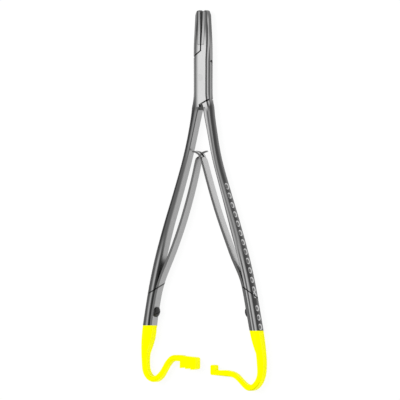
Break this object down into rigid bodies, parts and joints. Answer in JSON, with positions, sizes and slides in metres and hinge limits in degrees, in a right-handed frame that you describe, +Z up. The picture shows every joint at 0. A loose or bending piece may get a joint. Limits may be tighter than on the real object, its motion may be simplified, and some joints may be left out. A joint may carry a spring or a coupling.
{
  "type": "surgical needle holder",
  "caption": "Needle holder with a box lock, inserts in its jaws, spring handles and hooked ratchet ends.",
  "frame": {"origin": "on the lock's rivet axis, in the plane that the instrument lies on", "axes": "+Y towards the jaws, +X to the right with the jaws up, +Z up from the surface that it lies on"},
  "size_m": [0.077, 0.1995, 0.0056],
  "materials": {
    "limb_steel": "satin, with yellow plated hook ends",
    "rivet_steel": "satin, ground flush",
    "jaw_insert": "fine ground hard metal",
    "spring_steel": "satin",
    "screw_steel": "polished"
  },
  "bodies": {
    "box_side": {"box_limb": "limb_steel", "pivot_rivet": "rivet_steel", "right_jaw_insert": "jaw_insert", "left_leaf_spring": "spring_steel", "left_spring_screw": "screw_steel"},
    "through_side": {"through_limb": "limb_steel", "left_jaw_insert": "jaw_insert", "right_leaf_spring": "spring_steel", "right_spring_screw": "screw_steel"}
  },
  "joints": [
    {"name": "lock_hinge", "type": "hinge", "parent": "box_side", "child": "through_side", "pos_m": [0, 0, 0], "axis": [0, 0, 1], "range_deg": [-2.8, 6], "stiffness_Nm_per_rad": 7.5}
  ]
}
